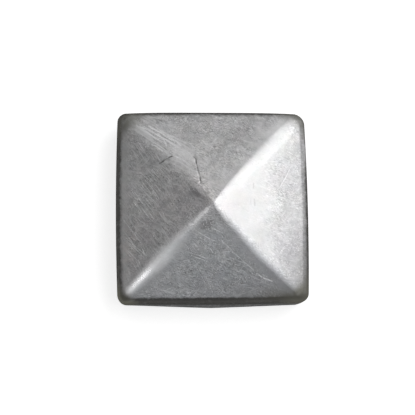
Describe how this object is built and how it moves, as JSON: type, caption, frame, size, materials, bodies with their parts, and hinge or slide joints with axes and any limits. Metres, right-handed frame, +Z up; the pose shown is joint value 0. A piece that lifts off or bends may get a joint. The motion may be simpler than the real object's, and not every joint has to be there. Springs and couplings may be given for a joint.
{
  "type": "post cap",
  "caption": "Pressed sheet-steel cap for a square post: a low pyramid roof with soft hips and a blunt tip over a short upright skirt that slips over the post's end.",
  "frame": {"origin": "middle of the rim plane, on the axis through the tip", "axes": "+Z up through the tip, +X and +Y square to two neighbouring sides"},
  "size_m": [0.055, 0.055, 0.0204],
  "materials": {
    "bare_steel": "bare pressed steel, satin, with fine scratches, dull smudges and darker bends"
  },
  "bodies": {
    "root": {"cap": "bare_steel"}
  },
  "joints": []
}
